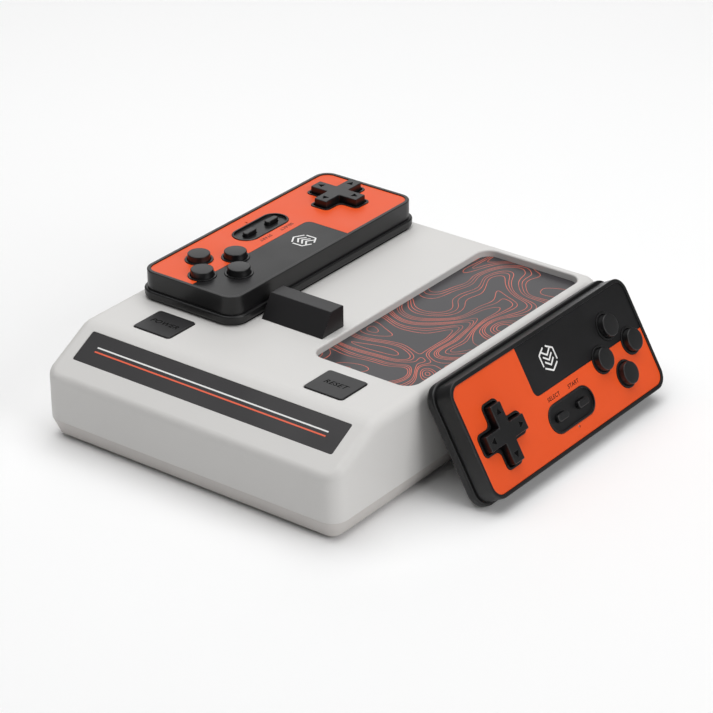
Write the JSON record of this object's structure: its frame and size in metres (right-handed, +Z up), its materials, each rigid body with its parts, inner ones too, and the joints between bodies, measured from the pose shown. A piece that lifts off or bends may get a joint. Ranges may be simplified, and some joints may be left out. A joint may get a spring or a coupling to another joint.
{
  "type": "game console with controllers",
  "caption": "Low desktop game console with a sloping front and open bays on top, a wireless hand controller docked in a bay and another leaning on its side.",
  "frame": {"origin": "on the table under the middle of the console, at the underside of its rubber feet", "axes": "+Z up, +Y from the console's front to its back, +X to its right seen from the front"},
  "size_m": [0.1933, 0.189, 0.0604],
  "materials": {
    "case_plastic": "fine satin grain, warm light grey",
    "strip_plastic": "smooth satin, near black",
    "key_plastic": "fine satin grain, dark grey",
    "bay_print": "printed dark panel with thin orange contour lines",
    "pad_plastic": "fine satin grain, black",
    "orange_face": "smooth satin orange",
    "black_face": "smooth satin black",
    "button_plastic": "satin black",
    "switch_plastic": "plain black",
    "circuit_board": "green solder mask",
    "steel": "plated steel",
    "heat_sink_aluminium": "bare extruded",
    "foot_rubber": "matt",
    "contact_rubber": "soft grey silicone",
    "battery_wrap": "silver film",
    "clear_plastic": "frosted clear"
  },
  "bodies": {
    "console": {"top_shell": "case_plastic", "base_shell": "case_plastic", "front_strip": "strip_plastic", "left_bay_panel": "bay_print", "right_bay_panel": "bay_print", "button_switches": "switch_plastic", "button_board": "circuit_board", "lever_spring": "steel", "main_board": "circuit_board", "processor": "switch_plastic", "heat_sink": "heat_sink_aluminium", "receiver_module": "circuit_board", "video_port": "steel", "power_port": "steel", "card_socket": "steel", "rubber_feet": "foot_rubber", "case_screws": "steel", "board_screws": "steel"},
    "power_button": {"power_button": "key_plastic"},
    "reset_button": {"reset_button": "key_plastic"},
    "eject_lever": {"eject_lever": "key_plastic", "lever_shoe": "switch_plastic"},
    "left_pad": {"left_pad_front_shell": "pad_plastic", "left_pad_back_shell": "pad_plastic", "left_pad_orange_plate": "orange_face", "left_pad_black_plate": "black_face", "left_pad_menu_bezel": "pad_plastic", "left_pad_rubber_contacts": "contact_rubber", "left_pad_circuit_board": "circuit_board", "left_pad_battery": "battery_wrap", "left_pad_charge_port": "steel", "left_pad_status_light": "clear_plastic", "left_pad_screws": "steel"},
    "left_pad_dpad_pivot": {"left_pad_dpad_pivot": "steel"},
    "left_pad_dpad": {"left_pad_dpad": "button_plastic"},
    "left_pad_top_button": {"left_pad_top_button": "button_plastic"},
    "left_pad_right_button": {"left_pad_right_button": "button_plastic"},
    "left_pad_bottom_button": {"left_pad_bottom_button": "button_plastic"},
    "left_pad_left_button": {"left_pad_left_button": "button_plastic"},
    "left_pad_select_button": {"left_pad_select_button": "button_plastic"},
    "left_pad_start_button": {"left_pad_start_button": "button_plastic"},
    "right_pad": {"right_pad_front_shell": "pad_plastic", "right_pad_back_shell": "pad_plastic", "right_pad_orange_plate": "orange_face", "right_pad_black_plate": "black_face", "right_pad_menu_bezel": "pad_plastic", "right_pad_rubber_contacts": "contact_rubber", "right_pad_circuit_board": "circuit_board", "right_pad_battery": "battery_wrap", "right_pad_charge_port": "steel", "right_pad_status_light": "clear_plastic", "right_pad_screws": "steel"},
    "right_pad_dpad_pivot": {"right_pad_dpad_pivot": "steel"},
    "right_pad_dpad": {"right_pad_dpad": "button_plastic"},
    "right_pad_top_button": {"right_pad_top_button": "button_plastic"},
    "right_pad_right_button": {"right_pad_right_button": "button_plastic"},
    "right_pad_bottom_button": {"right_pad_bottom_button": "button_plastic"},
    "right_pad_left_button": {"right_pad_left_button": "button_plastic"},
    "right_pad_select_button": {"right_pad_select_button": "button_plastic"},
    "right_pad_start_button": {"right_pad_start_button": "button_plastic"}
  },
  "joints": [
    {"name": "power_press", "type": "slide", "parent": "console", "child": "power_button", "axis": [0, 0, -1], "range_m": [0, 0.0005], "stiffness_N_per_m": 350},
    {"name": "reset_press", "type": "slide", "parent": "console", "child": "reset_button", "axis": [0, 0, -1], "range_m": [0, 0.0005], "stiffness_N_per_m": 350},
    {"name": "lever_slide", "type": "slide", "parent": "console", "child": "eject_lever", "axis": [0, -1, 0], "range_m": [0, 0.005], "stiffness_N_per_m": 60},
    {"name": "left_pad_lift", "type": "slide", "parent": "console", "child": "left_pad", "axis": [0, 0, 1], "range_m": [0, 0.06]},
    {"name": "left_pad_dpad_rock", "type": "hinge", "parent": "left_pad", "child": "left_pad_dpad_pivot", "pos_m": [-0.0484, 0.0707, 0.05105], "axis": [1, 0, 0], "range_deg": [-3, 3], "stiffness_Nm_per_rad": 0.3},
    {"name": "left_pad_dpad_tip", "type": "hinge", "parent": "left_pad_dpad_pivot", "child": "left_pad_dpad", "pos_m": [-0.0484, 0.0707, 0.05105], "axis": [0, -1, 0], "range_deg": [-3, 3], "stiffness_Nm_per_rad": 0.3},
    {"name": "left_pad_top_button_press", "type": "slide", "parent": "left_pad", "child": "left_pad_top_button", "axis": [0, 0, -1], "range_m": [0, 0.0012], "stiffness_N_per_m": 300},
    {"name": "left_pad_right_button_press", "type": "slide", "parent": "left_pad", "child": "left_pad_right_button", "axis": [0, 0, -1], "range_m": [0, 0.0012], "stiffness_N_per_m": 300},
    {"name": "left_pad_bottom_button_press", "type": "slide", "parent": "left_pad", "child": "left_pad_bottom_button", "axis": [0, 0, -1], "range_m": [0, 0.0012], "stiffness_N_per_m": 300},
    {"name": "left_pad_left_button_press", "type": "slide", "parent": "left_pad", "child": "left_pad_left_button", "axis": [0, 0, -1], "range_m": [0, 0.0012], "stiffness_N_per_m": 300},
    {"name": "left_pad_select_button_press", "type": "slide", "parent": "left_pad", "child": "left_pad_select_button", "axis": [0, 0, -1], "range_m": [0, 0.0008], "stiffness_N_per_m": 300},
    {"name": "left_pad_start_button_press", "type": "slide", "parent": "left_pad", "child": "left_pad_start_button", "axis": [0, 0, -1], "range_m": [0, 0.0008], "stiffness_N_per_m": 300},
    {"name": "right_pad_lift", "type": "slide", "parent": "console", "child": "right_pad", "axis": [0, 0, 1], "range_m": [0, 0.06]},
    {"name": "right_pad_dpad_rock", "type": "hinge", "parent": "right_pad", "child": "right_pad_dpad_pivot", "pos_m": [0.09913, -0.0196, 0.02349], "axis": [-0.5, 0, 0.866], "range_deg": [-3, 3], "stiffness_Nm_per_rad": 0.3},
    {"name": "right_pad_dpad_tip", "type": "hinge", "parent": "right_pad_dpad_pivot", "child": "right_pad_dpad", "pos_m": [0.09913, -0.0196, 0.02349], "axis": [0, 1, 0], "range_deg": [-3, 3], "stiffness_Nm_per_rad": 0.3},
    {"name": "right_pad_top_button_press", "type": "slide", "parent": "right_pad", "child": "right_pad_top_button", "axis": [-0.866, 0, -0.5], "range_m": [0, 0.0012], "stiffness_N_per_m": 300},
    {"name": "right_pad_right_button_press", "type": "slide", "parent": "right_pad", "child": "right_pad_right_button", "axis": [-0.866, 0, -0.5], "range_m": [0, 0.0012], "stiffness_N_per_m": 300},
    {"name": "right_pad_bottom_button_press", "type": "slide", "parent": "right_pad", "child": "right_pad_bottom_button", "axis": [-0.866, 0, -0.5], "range_m": [0, 0.0012], "stiffness_N_per_m": 300},
    {"name": "right_pad_left_button_press", "type": "slide", "parent": "right_pad", "child": "right_pad_left_button", "axis": [-0.866, 0, -0.5], "range_m": [0, 0.0012], "stiffness_N_per_m": 300},
    {"name": "right_pad_select_button_press", "type": "slide", "parent": "right_pad", "child": "right_pad_select_button", "axis": [-0.866, 0, -0.5], "range_m": [0, 0.0008], "stiffness_N_per_m": 300},
    {"name": "right_pad_start_button_press", "type": "slide", "parent": "right_pad", "child": "right_pad_start_button", "axis": [-0.866, 0, -0.5], "range_m": [0, 0.0008], "stiffness_N_per_m": 300}
  ]
}
